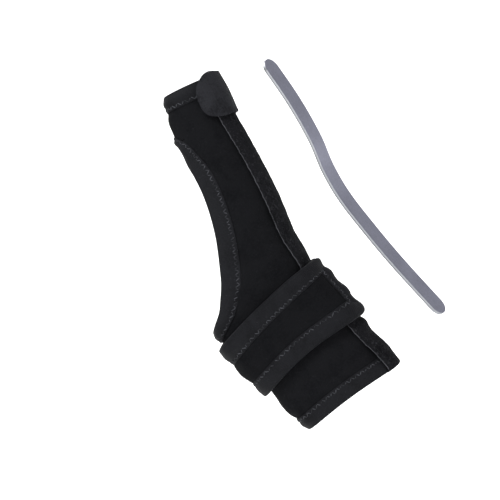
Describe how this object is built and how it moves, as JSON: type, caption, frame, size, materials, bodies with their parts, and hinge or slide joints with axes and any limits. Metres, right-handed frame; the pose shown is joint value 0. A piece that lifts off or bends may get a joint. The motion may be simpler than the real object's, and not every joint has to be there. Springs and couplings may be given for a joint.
{
  "type": "thumb spica splint",
  "caption": "Soft black wrist and thumb splint with a bound hand opening, a wrist strap, a thumb strap and a bent metal stay taken out beside it.",
  "frame": {"origin": "middle of the wrist hollow at the level of the wrist strap", "axes": "+Z along the forearm towards the hand and thumb, +X to the thumb's side, -Y to the palm's side"},
  "size_m": [0.1186, 0.0588, 0.194],
  "materials": {
    "panel_cloth": "brushed, foam-backed",
    "binding_tape": "knitted tape, zigzag stitched",
    "pocket_cloth": "looped, slightly speckled",
    "tab_cloth": "fine flat weave",
    "stay_metal": "satin"
  },
  "bodies": {
    "root": {"panel": "panel_cloth", "hand_opening_binding": "binding_tape", "thumb_binding": "binding_tape", "cuff_binding": "binding_tape", "stay_pocket": "pocket_cloth", "wrist_strap": "panel_cloth", "wrist_strap_binding": "binding_tape", "thumb_strap": "tab_cloth", "stay": "stay_metal"}
  },
  "joints": []
}
